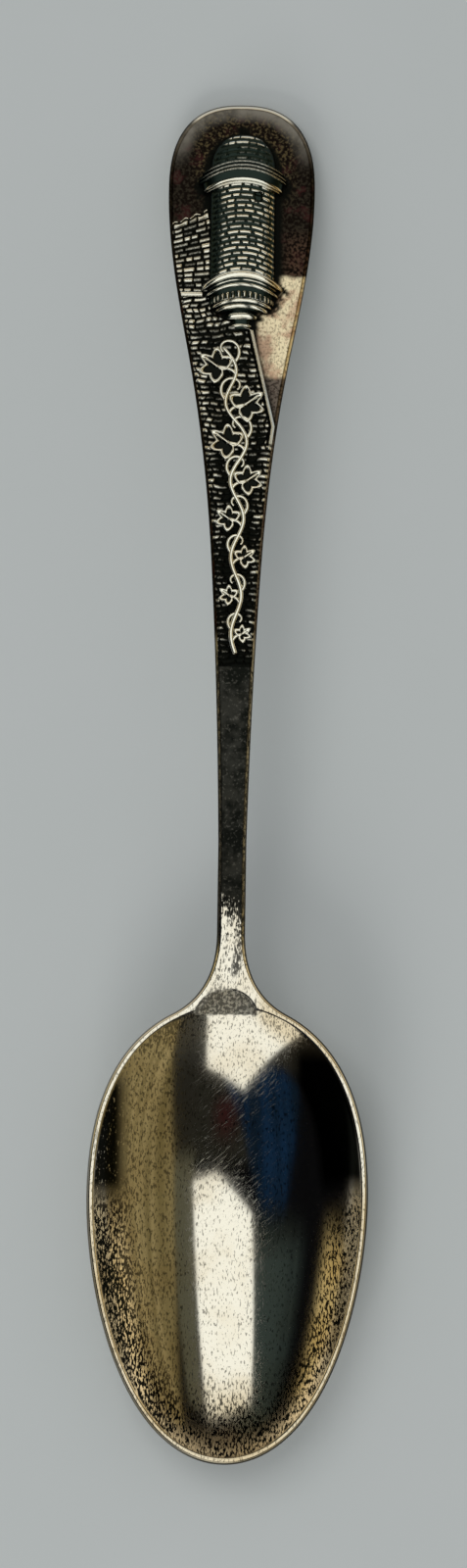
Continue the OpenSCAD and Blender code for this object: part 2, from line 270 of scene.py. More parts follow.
def inward_normals(outline, tip):
    """Unit normals into the right half; the one at a tip points back along the centre line."""
    d = np.gradient(outline, axis=0)
    n = np.stack([-d[:, 1], d[:, 0]], 1)
    n /= np.linalg.norm(n, axis=1)[:, None]
    n *= np.where(n[:, :1] > 0, -1, 1)
    n[0] = (-1, 0)
    n[-1] = (0, np.sign(outline[0, 1] - outline[-1, 1])) if tip else (-1, 0)
    return n


def plan_grid(outline, spine, tip):
    """Plan points of the right half, from the outline to the centre line, and how far in each is."""
    edge = outline[:, None, :] + EDGE_STEPS[None, :, None] * inward_normals(outline, tip)[:, None, :]
    edge[:, :, 0] = np.maximum(edge[:, :, 0], 0)
    start = edge[:, -1:]
    end = np.stack([np.zeros(len(spine)), spine], 1)[:, None, :]
    inner = mix(start, end, np.arange(1, inner_steps + 1)[None, :, None] / inner_steps)
    far = EDGE_STEPS[-1] + np.linalg.norm(inner - start, axis=2)
    return np.concatenate([edge, inner], 1), np.concatenate([np.tile(EDGE_STEPS, (len(spine), 1)), far], 1)


def across(half, sign=1):
    """A half section mirrored into a whole one, from left to right."""
    return np.concatenate([sign * half, half[:, -2::-1]], 1)


def facet_mask(x, y):
    inside = ramp(shoulder_share(x, y), 0, 0.04) * ramp(y, shoulder_line - 0.05, shoulder_line + 0.05)
    return inside * (np.abs(x - shoulder_x) < shoulder_w)


def spoon_part(name, node, material, outline, spine, surface, tip, shade_and_soot):
    """One length of the spoon: rows of closed sections from its outline in to its centre line."""
    plan, inset = plan_grid(outline, spine, tip)
    x, y = plan[:, :, 0], plan[:, :, 1]
    bevel_w = mix(bevel, neck_bevel, ramp(y, seam_y - neck_l, seam_y))
    upper = surface(x, y) - bevel * np.clip(1 - inset / bevel_w, 0, 1) ** 1.2
    rounding = foot_round * np.clip(1 - inset / 0.25, 0, 1) ** 1.6
    lower = under_z(x, y) + rounding * ramp(y, seam_y - 4, seam_y)
    upper = np.maximum(upper, lower + 0.05)

    xs, ys, tops, unders = across(x, -1), across(y), across(upper), across(lower)
    middle = (tops[:, [0, -1]] + unders[:, [0, -1]]) / 2
    ring_x = np.concatenate([xs, xs[:, -1:], xs[:, ::-1], xs[:, :1]], 1)
    ring_y = np.concatenate([ys, ys[:, -1:], ys[:, ::-1], ys[:, :1]], 1)
    ring_z = np.concatenate([tops, middle[:, 1:], unders[:, ::-1], middle[:, :1]], 1)
    rows, k = ring_x.shape
    wide = xs.shape[1]
    points = np.stack([ring_x, ring_y, ring_z], 2).reshape(-1, 3)
    faces = []
    for i in range(rows - 1):
        for j in range(k):
            a, b = i * k + j, i * k + (j + 1) % k
            quad = [a, b, b + k, a + k]
            if len({tuple(points[q].round(5)) for q in quad}) > 2:
                faces.append(quad)
    sharp = []
    for row in [0] if tip else [0, (rows - 1) * k]:
        for j in range(wide - 1):
            face = [row + j, row + j + 1, row + 2 * wide - 1 - j, row + 2 * wide - j]
            if j == 0:
                face.append(row + k - 1)
            if j == wide - 2:
                face.insert(2, row + wide)
            faces.append(face)
        loop = [row + j for j in range(k)]
        sharp += neighbours(loop) + [(loop[-1], loop[0])]
    inset = across(inset)
    side = np.zeros((rows, 1))
    inset_ring = np.concatenate([inset, side, np.full_like(inset, UNDER_INSET), side], 1)
    back = np.concatenate([np.zeros_like(inset), side, np.ones_like(inset), side], 1).reshape(-1)
    values = {"inset": inset_ring.reshape(-1), "back": back}
    values["shade_and_soot"] = shade_and_soot(points[:, 0], points[:, 1]) * (1 - back)
    values["facet"] = facet_mask(points[:, 0], points[:, 1]) * (1 - back)
    return make_piece(name, node, material, points, faces, values, sharp)


# Bowl outline: a curve down the neck, then the egg round to the tip

def egg_point(a):
    return np.stack([egg_b * fullness(np.cos(a)) * np.sin(a), egg_y + egg_a * np.cos(a)], -1)


neck_end = egg_point(neck_angle)
neck_dir = egg_point(neck_angle + 0.01) - egg_point(neck_angle - 0.01)
neck_bend = np.array([neck_w / 2, neck_end[1] + neck_dir[1] * (neck_w / 2 - neck_end[0]) / neck_dir[0]])
spine_high = neck_end[1] - 2.3
spine_low = tip_y + 11


def bowl_rows(neck_rows, egg_rows):
    t = (np.arange(neck_rows) / neck_rows)[:, None]
    start = np.array([neck_w / 2, seam_y])
    neck = (1 - t) ** 2 * start + 2 * t * (1 - t) * neck_bend + t * t * neck_end
    neck_spine = neck[:, 1] + (spine_high - neck_end[1]) * t[:, 0] ** 2
    t = np.arange(egg_rows + 1) / egg_rows
    egg = egg_point(mix(neck_angle, math.pi, t))
    return np.concatenate([neck, egg]), np.concatenate([neck_spine, mix(spine_high, spine_low, t**0.7)])


def straight_rows(y0, y1, step):
    y = np.linspace(y0, y1, round((y1 - y0) / step) + 1)
    return np.stack([half_w(y), y], 1), y


def blade_rows(step, cap_rows):
    outline, spine = straight_rows(blade_y, cap_y, step)
    t = np.arange(1, cap_rows + 1) / cap_rows
    y = cap_y + cap_l * np.sin(math.pi / 2 * t) ** (2 / cap_power)
    x = half_w(y)
    x[-1] = 0
    return np.concatenate([outline, np.stack([x, y], 1)]), np.concatenate([spine, mix(cap_y, end_y - 6, t)])


# ---- Relief: plans and profiles --------------------------------------------------------

wall_h = 0.35
turret_x = 0.12
turret_foot = 0.12
turret_squash = 0.382
stone_proud = 0.11
dentil_cut = 0.12
window_cut = 0.3
course_h = 0.575
crown_power = 3.0
ledge_y = end_y - 21
ledge_l = 0.6
coping_low = (4.1, end_y - 35.9)
coping_high = (1.4, end_y - 24.5)
dome_b, dome_l, dome_r = 3.15, 2.95, 3.5

# Turret, by distance back from the handle's end: plain radius, then beads as (place, half length, radius)
TURRET_LINE = [(6.1, 3.8), (6.55, 4.25), (7.1, 4.4), (7.9, 4.25), (8.5, 3.6), (8.56, 3.53), (18.1, 3.53),
               (18.9, 3.62), (20.2, 3.3), (21.0, 3.0), (21.7, 2.7), (22.3, 2.1), (22.45, 1.0), (23.4, 0.9),
               (24.4, 0.75)]
BEADS = [(6.2, 0.12, 4.4), (6.62, 0.13, 4.75), (7.0, 0.13, 4.72), (8.12, 0.19, 4.3), (8.46, 0.13, 4.05),
         (18.5, 0.37, 4.4), (19.1, 0.1, 3.75), (19.62, 0.2, 3.95), (20.65, 0.36, 3.5), (21.3, 0.2, 3.25),
         (21.9, 0.22, 2.88), (22.92, 0.44, 1.7), (24.02, 0.16, 1.12)]


def turret_radius(b):
    t = np.clip((b - dome_b) / dome_l, 0, 1)
    dome = dome_r * np.clip(1 - (1 - t) ** 2.5, 0, 1) ** 0.4
    line = np.interp(b, *zip(*TURRET_LINE))
    for place, reach, radius in BEADS:
        power = 3.5 if radius > 2 else 2
        bulge = np.sqrt(np.clip(1 - np.abs((b - place) / reach) ** power, 0, 1))
        line = np.maximum(line, np.where(bulge > 0, mix(line, radius, bulge), 0))
    return np.where(b < dome_b + dome_l, dome, line)


def turret_arch(b):
    return np.interp(b, [3, 8.5, 18, 21, 24.4], [0.08, 0.078, 0.09, 0.087, 0.08])


def turret_gap(x, y):
    """How far a point of the ground is outside the turret's plan, and 0 inside it."""
    dx = x - turret_x
    b = end_y - y - 0.083 * dx * dx
    gap = np.maximum(np.abs(dx) - turret_radius(b), np.maximum(dome_b - b, b - 24.4))
    return np.maximum(gap, 0)


def coping_x(y):
    slope = (coping_high[0] - coping_low[0]) / (coping_high[1] - coping_low[1])
    return coping_low[0] + (y - coping_low[1]) * slope


def deck_w(y):
    return half_w(y) - bevel


def wall_right(y):
    """Right end of the wall: the blade's edge, the slanted coping, then the turret's foot."""
    steps = [coping_high[1], end_y - 23.3, end_y - 22.6, ledge_y]
    foot = turret_x - np.interp(y, steps, [-1.3, 1.95, 3.0, 3.5])
    slant = np.minimum(coping_x(y), deck_w(y))
    return np.where(y > coping_high[1], foot, slant)


def hashed(i, j, seed):
    v = np.sin(i * 127.1 + j * 311.7 + seed * 74.7) * 43758.5453
    return v - np.floor(v)


def bricks(along, course, pitch, length, seed, narrow=0.75):
    """Faces of coursed stones: 0 in the joints and near 1 on a stone, and a random number per stone."""
    row = np.floor(course)
    span = length * (0.75 + 0.5 * hashed(row, 1, seed))
    place = along / span + hashed(row, 5, seed) + 0.16 * np.sin(along * 2.3 + row * 1.7)
    stone = np.floor(place)
    v = (course - row) * pitch
    u = (place - stone) * span
    crown = np.sin(np.pi * np.clip(v / pitch, 0, 1)) ** narrow
    face = crown * smoothstep(np.minimum(u, span - u) / 0.16)
    luck = hashed(stone, row, seed + 2)
    return face * mix(0.75, 1, luck), luck


def shell(x, y, height, foot):
    """Closed skin over a grid of plan points: its top at a height above the handle, its feet lower."""
    rows, k = x.shape
    ids = np.arange(rows * k).reshape(rows, k)
    ring = np.concatenate([ids[0], ids[1:, -1], ids[-1, -2::-1], ids[-2:0:-1, 0]])
    under = dict(zip(ring.tolist(), range(rows * k, rows * k + len(ring))))
    tops = np.stack([x, y, top_z(y) + height], 2).reshape(-1, 3)
    feet = tops[ring].copy()
    feet[:, 2] = top_z(feet[:, 1]) + foot
    quads = np.stack([ids[:-1, :-1], ids[:-1, 1:], ids[1:, 1:], ids[1:, :-1]], 2).reshape(-1, 4).tolist()
    loop = ring.tolist()
    walls = [[a, b, under[b], under[a]] for a, b in neighbours(loop + loop[:1])]
    low = [[under[int(a)] for a in ids[0]]] + [[under[int(r[0])], under[int(r[-1])]] for r in ids[1:-1]]
    low.append([under[int(a)] for a in ids[-1]])
    floors = [a + b[::-1] for a, b in neighbours(low)]
    return np.concatenate([tops, feet]), quads + walls + floors


def joined(shells):
    points, faces, count = [], [], 0
    for some, skin in shells:
        points.append(some)
        faces += [[i + count for i in face] for face in skin]
        count += len(some)
    return np.concatenate(points), faces


def relief_piece(name, node, material, x, y, height, worn, foot=-0.05):
    points, faces = shell(x, y, height, foot)
    worn = np.concatenate([np.asarray(worn).reshape(-1), np.zeros(len(points) - x.size)])
    return make_piece(name, node, material, points, faces, {"worn": worn})


def stone_wear_and_light(b, u, luck):
    """Worn stone faces with painted light: a painted highlight along the dome's top, the drum lighter
    towards its foot, and painted shade on the left of both.
    """
    dome = mix(0.40, 1.15, ramp(b, 4.5, 3.9))
    drum = mix(0.86, 1.1, ramp(b, 13, 16.5))
    return np.where(b < 8, dome, drum) * mix(0.16, 1, ramp(u, -0.88, -0.5)) * mix(0.7, 1.2, luck)


def ring_wear_and_shade(b, u, around, r):
    """Bright along the crests of the beads, with painted shade on their left, less so on the cornice, and
    scuffed on the corbel.
    """
    bead = (r - np.interp(b, *zip(*TURRET_LINE))) / 0.3
    crest = np.clip(1.6 * bead, 0, 1) ** 1.9 * mix(0.45, 1, ramp(u, -1.0, -0.75))
    scuff = 0.5 + 0.5 * np.sin(around * 2.9 + 3 * np.sin(b * 2.1)) * np.sin(around * 1.1 - b * 3.7)
    return crest * np.select([b < 7.5, b < 8.6, b < 18.95], [0.50, 0.86, 1], mix(0.40, 1.1, scuff))


def build_turret(name, node, material, low_b, high_b):
    b = np.linspace(high_b, low_b, round((high_b - low_b) / 0.05) + 1)[:, None]
    u = -np.cos(np.linspace(0.02, math.pi - 0.02, 130))[None, :]
    r = turret_radius(b)
    dx = r * u
    x = turret_x + dx
    y = end_y - b - turret_arch(b) * dx * dx
    height = turret_foot + turret_squash * r * (1 - np.abs(u) ** crown_power) ** (1 / crown_power)
    built = (b < dome_b + dome_l) | ((b > 8.56) & (b < 18.12))
    around = r * np.arcsin(u)
    stone, luck = bricks(around + 40, b / course_h + 0.35, course_h, 1.25, 3, 2.4)
    side = 1 - np.abs(u) ** 6
    dentil = smoothstep(np.abs((around / 0.62) % 1 - 0.5) * 5 - 0.6)
    in_dentils = (b > 20.33) & (b < 20.97)
    spot = ramp(np.abs(x - 1.76), 0.44, 0.32) * ramp(np.abs(y - end_y + 10.1), 0.60, 0.46)
    hole = spot * (node == "turret_drum")
    height = height + np.where(built, stone_proud * stone * side, 0)
    height = height - np.where(in_dentils, dentil_cut * dentil * side, 0) - window_cut * hole
    worn = np.where(built, stone * stone_wear_and_light(b, u, luck), ring_wear_and_shade(b, u, around, r))
    worn = np.where(in_dentils, worn * (1 - dentil), worn) * (1 - hole)
    return relief_piece(name, node, material, x, y, height, worn)


def build_wall(material):
    y = np.linspace(blade_y, ledge_y, 640)[:, None]
    u = np.linspace(0, 1, 130)[None, :]
    left, right = -deck_w(y), wall_right(y)
    x = mix(left, right, u)
    y = np.broadcast_to(y, x.shape)
    rise = 0.2 * ramp(y, ledge_y - 7, ledge_y)
    wander = 0.12 * np.sin(x * 0.9 + y * 0.23) + 0.1 * np.sin(x * 2.7 - y * 0.61)
    course = (y - rise * (x + 4)) / 0.6 + wander
    stone, luck = bricks(x + 30 + 0.2 * np.sin(y * 3), course, 0.6, 1.0, 11, 1.0)
    from_right = right - x
    beside = ramp(y, coping_low[1] - 2, coping_low[1]) * (y < coping_high[1] + 0.3)
    cope = ramp(from_right, 0.42, 0.3) * beside
    groove = ramp(np.abs(from_right - 0.5), 0.16, 0.05) * (cope.max(1, keepdims=True) > 0.5)
    edge = ramp(np.minimum(x - left, from_right), 0, 0.25)
    start = ramp(y, blade_y - 0.5, blade_y + 1.5)
    height = mix(wall_h - 0.16 + 0.16 * stone, wall_h + 0.18, cope) - 0.1 * groove
    field = ramp(y, ledge_y - 1.5, ledge_y - 4.5) * ramp(np.minimum(x - left, from_right), 0.3, 1.5)
    up_wall = ramp(y, 22, 44)
    wear = mix(0.62, 1, luck) * mix(mix(0.78, 1.22, up_wall), mix(0.40, 0.74, up_wall), field)
    worn = np.maximum(stone * wear, cope) * (1 - groove) * start
    height = height * mix(0.55, 1, edge) * mix(0.3, 1, start)
    return relief_piece("masonry_field", "wall_panel", material, x, y, height, worn)


def build_parapet(material):
    v = np.linspace(0, 1, 170)[:, None]
    u = np.linspace(0, 1, 70)[None, :]
    left = -deck_w(mix(ledge_y + 0.6, end_y - 13.1, v))
    right = turret_x - np.interp(mix(ledge_y + 0.6, end_y - 11.6, v), [52.5, 60, 62], [3.5, 3.5, 3.95])
    x = mix(left, right, u)
    high = mix(end_y - 13.1, end_y - 11.6, u) + 0.12 * np.sin(u * 21) * ramp(v, 0.9, 1)
    y = mix(ledge_y + ledge_l + 0.02, high, v)
    stone, luck = bricks(x + 20, v * 14.0 + 0.4, 0.58, 1.15, 23, 0.8)
    top = ramp(v, 0.92, 0.95)
    height = 0.42 + 0.15 * stone + 0.08 * top
    worn = np.maximum(stone**1.3 * mix(0.7, 1.15, luck), top * stone)
    return relief_piece("parapet_masonry", "parapet_wall", material, x, y, height, worn)


def build_ledge(material):
    v = np.linspace(-1, 1, 21)[:, None]
    u = np.linspace(0, 1, 60)[None, :]
    y = ledge_y + ledge_l * (v + 1) / 2 + 0 * u
    x = mix(-deck_w(y) + 0.05, turret_x - 4.2, u)
    swell = np.sqrt(1 - (0.97 * v) ** 2)
    return relief_piece("parapet_moulding", "parapet_ledge", material, x, y,
                        0.4 + 0.38 * swell + 0 * u, swell * (1.0 + 0.2 * np.sin(u * 40)))


# ---- Ivy -------------------------------------------------------------------------------

vine_from = blade_y + 1.4
vine_to = end_y - 26.5
leaf_count = 8
ivy_base = wall_h - 0.02
LEAF = [(0, 1), (24, 0.62), (50, 0.92), (78, 0.58), (112, 0.8), (150, 0.52), (180, 0.3)]


def wall_middle(y):
    return (wall_right(y) - deck_w(y)) / 2


def wall_room(y):
    return (wall_right(y) + deck_w(y)) / 2


def vine_x(y):
    turns = leaf_count / 2 * (y - vine_from) / (vine_to - vine_from)
    return wall_middle(y) - 0.25 * wall_room(y) * np.sin(2 * math.pi * turns)


def stroke(path, widths, height):
    """Half-round line raised over the masonry along a plan path."""
    d = np.gradient(path, axis=0)
    n = np.stack([-d[:, 1], d[:, 0]], 1) / np.linalg.norm(d, axis=1)[:, None]
    u = np.linspace(-1, 1, 9)[None, :]
    half = np.asarray(widths)[:, None] / 2
    x = path[:, :1] - n[:, :1] * half * u
    y = path[:, 1:] - n[:, 1:] * half * u
    return shell(x, y, ivy_base + height * (1 - 0.94 * np.abs(u) ** 3.5) + 0 * y, ivy_base - 0.15)


def curl(at, turn, size, side):
    """Tendril: a spiral that starts at a point and winds in."""
    t = np.linspace(0, 1, 60)
    angle = turn + side * t * 5.2
    step = size * (1 - 0.82 * t)[:, None] * np.stack([np.cos(angle), np.sin(angle)], 1)
    return stroke(at + np.cumsum(step, 0) / 18, mix(0.44, 0.28, t), 0.22)


def leaf_places():
    """Side of the vine, place, turn and size of each leaf."""
    for i in range(leaf_count):
        y = mix(vine_from, vine_to, (i + 0.5) / leaf_count)
        side = 1 if i % 2 == 0 else -1
        size = 0.66 * wall_room(y) - 0.08
        at = np.array([vine_x(y) + side * (0.25 + 0.72 * size), y])
        yield side, at, math.radians(35 if side > 0 else 145), size


def build_vine(material):
    y = np.linspace(vine_from, vine_to, 260)
    t = np.linspace(0, 1, len(y))
    shells = [stroke(np.stack([vine_x(y), y], 1), mix(0.62, 0.46, t), 0.26)]
    for side, at, turn, size in leaf_places():
        root = np.array([vine_x(at[1] - 0.9), at[1] - 0.9])
        s = np.linspace(0, 1, 24)[:, None]
        bend = np.array([root[0] + side * 0.2, at[1] - 0.1])
        stalk = (1 - s) ** 2 * root + 2 * s * (1 - s) * bend + s * s * at
        shells.append(stroke(stalk, np.full(len(s), 0.42), 0.23))
        start = np.array([vine_x(at[1] + 0.5), at[1] + 0.5])
        shells.append(curl(start, math.pi / 2 + side * 0.8, 1.1 + 0.6 * size, -side))
    points, faces = joined(shells)
    return make_piece("ivy_vine_strokes", "ivy_stem", material, points, faces,
                      {"worn": np.full(len(points), 0.95)})


def leaf_shell(at, turn, size):
    """Five-pointed leaf with a raised edge and veins, as a closed skin, and the wear of each point."""
    turns = np.linspace(0, 2 * math.pi, 121)[:-1]
    away = np.degrees(np.abs((turns + math.pi) % (2 * math.pi) - math.pi))
    angles, lengths = zip(*LEAF)
    k = np.clip(np.searchsorted(angles, away, side="right") - 1, 0, len(LEAF) - 2)
    t = (away - np.take(angles, k)) / (np.take(angles, k + 1) - np.take(angles, k))
    reach = mix(np.take(lengths, k), np.take(lengths, k + 1), mix(t, smoothstep(t), 0.6)) * size
    rho = np.array([1, 0.97, 0.93, 0.88, 0.82, 0.76, 0.7, 0.64, 0.58, 0.5, 0.4, 0.28, 0.17, 0.07])[:, None]
    r = rho * reach
    rim = np.exp(-(((1 - rho) * reach - 0.20) / 0.23) ** 4)
    vein = np.zeros_like(r)
    for tip in (0, 180):
        off = (turns - math.radians(tip) + math.pi) % (2 * math.pi) - math.pi
        along_tip = (np.abs(off) < 0.9) * (rho < 0.9)
        vein = np.maximum(vein, np.exp(-((r * np.sin(off)) / 0.14) ** 4) * along_tip)
    raised = np.maximum(rim, vein)
    height = ivy_base + 0.04 + 0.24 * raised
    x = at[0] + r * np.cos(turns + turn)
    y = at[1] + r * np.sin(turns + turn)
    tops = np.stack([x, y, top_z(y) + height], 2)
    rings, n = x.shape
    middle = [at[0], at[1], float(top_z(at[1])) + ivy_base + 0.18]
    feet = tops[0].copy()
    feet[:, 2] = top_z(feet[:, 1]) + ivy_base - 0.15
    points = np.concatenate([tops.reshape(-1, 3), feet, [middle]])
    faces = []
    for j in range(n):
        h = (j + 1) % n
        faces += [[i * n + j, i * n + h, (i + 1) * n + h, (i + 1) * n + j] for i in range(rings - 1)]
        faces.append([(rings - 1) * n + j, (rings - 1) * n + h, len(points) - 1])
        faces.append([j, h, rings * n + h, rings * n + j])
    faces.append([rings * n + j for j in range(n)])
    worn = np.concatenate([raised.reshape(-1), np.zeros(n), [0.7]])
    return points, faces, worn


def build_leaves(material):
    made = [leaf_shell(at, turn, size) for side, at, turn, size in leaf_places()]
    points, faces = joined([(m[0], m[1]) for m in made])
    return make_piece("ivy_leaf_blades", "ivy_leaves", material, points, faces,
                      {"worn": np.concatenate([m[2] for m in made])})


# ---- Shader helpers --------------------------------------------------------------------

class Field:
    """A number made by shader nodes, so that a formula can be written as plain arithmetic."""

    def __init__(self, net, socket):
        self.net = net
        self.socket = socket

    def __add__(self, other):
        return self.net.math("ADD", self, other)

    __radd__ = __add__

    def __sub__(self, other):
        return self.net.math("SUBTRACT", self, other)

    def __rsub__(self, other):
        return self.net.math("SUBTRACT", other, self)

    def __mul__(self, other):
        return self.net.math("MULTIPLY", self, other)

    __rmul__ = __mul__

    def __truediv__(self, other):
        return self.net.math("DIVIDE", self, other)

    def most(self, other):
        return self.net.math("MAXIMUM", self, other)

    def off(self, centre=0.0):
        """How far the number is from a centre."""
        return self.net.math("ABSOLUTE", self - centre)

    def ramp(self, low, high):
        """0 below low and 1 above high; low may be the larger of the two."""
        node = self.net.node("MapRange", interpolation_type="SMOOTHSTEP")
        self.net.feed(node.inputs["Value"], self)
        self.net.feed(node.inputs["From Min"], low)
        self.net.feed(node.inputs["From Max"], high)
        return Field(self.net, node.outputs["Result"])

    def within(self, low, high, soft):
        return self.ramp(low - soft, low + soft) * self.ramp(high + soft, high - soft)


class Net:
    """Builds one node tree."""

    def __init__(self, tree):
        self.tree = tree
        tree.nodes.clear()

    def node(self, kind, **settings):
        made = self.tree.nodes.new("ShaderNode" + kind)
        for key, value in settings.items():
            setattr(made, key, value)
        return made

    def feed(self, socket, value):
        if isinstance(value, Field):
            self.tree.links.new(value.socket, socket)
        elif isinstance(value, bpy.types.NodeSocket):
            self.tree.links.new(value, socket)
        else:
            socket.default_value = value

    def math(self, operation, a, b=0.0):
        node = self.node("Math", operation=operation)
        self.feed(node.inputs[0], a)
        self.feed(node.inputs[1], b)
        return Field(self, node.outputs[0])

    def axes(self, vector):
        node = self.node("SeparateXYZ")
        self.feed(node.inputs[0], vector)
        return [Field(self, node.outputs[i]) for i in range(3)]

    def vector(self, x, y, z=0.0):
        node = self.node("CombineXYZ")
        for socket, value in zip(node.inputs, (x, y, z)):
            self.feed(socket, value)
        return node.outputs[0]

    def place(self):
        """Object coordinates in millimetres."""
        return [axis * 1000 for axis in self.axes(self.node("TexCoord").outputs["Object"])]

    def point_value(self, name):
        return Field(self, self.node("Attribute", attribute_name=name).outputs["Fac"])

    def noise(self, vector, scale, detail=3.0, roughness=0.55):
        node = self.node("TexNoise")
        self.feed(node.inputs["Vector"], vector)
        self.feed(node.inputs["Scale"], scale)
        self.feed(node.inputs["Detail"], detail)
        self.feed(node.inputs["Roughness"], roughness)
        return Field(self, node.outputs["Fac"])

    def blend(self, a, b, share):
        """Colour a turning into colour b."""
        node = self.node("Mix", data_type="RGBA")
        self.feed(node.inputs["Factor"], share)
        self.feed(node.inputs[6], a)
        self.feed(node.inputs[7], b)
        return node.outputs[2]

    def bump(self, height, strength, distance):
        node = self.node("Bump")
        self.feed(node.inputs["Strength"], strength)
        self.feed(node.inputs["Distance"], distance)
        self.feed(node.inputs["Height"], height)
        return node.outputs[0]


# ---- Silver ----------------------------------------------------------------------------
# In ramp(), within() and off(), x, y and inset go by millimetres, and noises and the per-point wear with
# painted light by levels of 0 to 1. inset is how far a point is in from the outline.

def rgba(r, g, b):
    return (r, g, b, 1.0)


SILVER = rgba(0.86, 0.85, 0.80)
GOLD_TONE = rgba(0.62, 0.50, 0.30)
RED_BROWN = rgba(0.052, 0.017, 0.018)
# Dark tarnish, also the colour of painted shade and painted dark reflections
SOOT_AND_SHADE = rgba(0.0088, 0.0102, 0.0090)
# Patina in the relief's hollows, also painted as shade on the turret's left side
RECESS_AND_SHADE_TEAL = rgba(0.0205, 0.032, 0.029)
# Bright relief where wear has rubbed it, also painted as a highlight along the dome's top
WORN_AND_LIT_RELIEF = rgba(0.845, 0.86, 0.81)

# The ground of the handle's end
GROUND_BLACK = rgba(0.007, 0.005, 0.004)
GROUND_GREY = rgba(0.046, 0.040, 0.030)
GROUND_OLIVE = rgba(0.115, 0.088, 0.042)
GROUND_RUST = rgba(0.085, 0.048, 0.034)
GROUND_LOW_RIGHT = rgba(0.15, 0.125, 0.11)
GREY_RIM = rgba(0.19, 0.18, 0.165)
OCHRE = rgba(0.83, 0.74, 0.54)
OCHRE_PINK = rgba(0.56, 0.39, 0.28)
OCHRE_DARK = rgba(0.33, 0.24, 0.19)
OCHRE_FRECKLE = rgba(0.20, 0.145, 0.09)

# The golden patch reaches over golden_y, and starts to the right of golden_x, in millimetres
golden_y = (43.4, 54.2)
golden_x = (1.6, 2.2)

# Depth of the bump of scratches and grit, in metres
FINE_BUMP = 0.00004


def finished(material, net, colour, roughness, normal=None):
    """The Principled shader and the output, once a material's fields are made."""
    shader = net.node("BsdfPrincipled")
    net.feed(shader.inputs["Base Color"], colour)
    net.feed(shader.inputs["Metallic"], 1.0)
    net.feed(shader.inputs["Roughness"], roughness)
    if normal is not None:
        net.feed(shader.inputs["Normal"], normal)
    net.feed(net.node("OutputMaterial").inputs["Surface"], shader.outputs[0])
    return material


def new_material(name):
    material = bpy.data.materials.new(name)
    material.use_nodes = True
    return material, Net(material.node_tree)


def ground_tone(net, x, y, inset, blotch, crust):
    """The handle's end: near black with olive, rust and red-brown, and grey along its rim."""
    tone = net.blend(GROUND_BLACK, RED_BROWN, blotch.ramp(0.54, 0.66) * 0.5)
    tone = net.blend(tone, GROUND_GREY, crust.ramp(0.44, 0.62) * 0.45)
    olive = crust.ramp(0.50, 0.64) * y.ramp(61.0, 66.5) * x.off(0.3).ramp(6.2, 4.4) * 0.55
    tone = net.blend(tone, GROUND_OLIVE, olive)
    rust = y.within(53.5, 58.5, 1.5) * x.ramp(4.2, 5.6) * crust.ramp(0.42, 0.58)
    tone = net.blend(tone, GROUND_RUST, rust * 0.6)
    grey_rim = inset.ramp(2.2, 0.5) * y.ramp(65.5, 70.5)
    tone = net.blend(tone, GREY_RIM, grey_rim * (0.45 + 0.55 * blotch.ramp(0.35, 0.6)))
    low_right = y.ramp(43.8, 43.0) * x.ramp(*golden_x)
    return net.blend(tone, GROUND_LOW_RIGHT, low_right * (0.25 + 0.6 * crust.ramp(0.42, 0.56)))


def golden_tone(net, x, y, blotch, crust):
    """The golden patch beside the turret: darker low on its left, and freckled."""
    tone = net.blend(OCHRE, OCHRE_PINK, blotch.ramp(0.44, 0.60))
    darker_low_left = x.ramp(4.4, 2.5) * y.ramp(50.5, 47.0)
    tone = net.blend(tone, OCHRE_DARK, darker_low_left * (0.35 + 0.4 * crust.ramp(0.40, 0.60)))
    return net.blend(tone, OCHRE_FRECKLE, crust.ramp(0.52, 0.62) * 0.6)


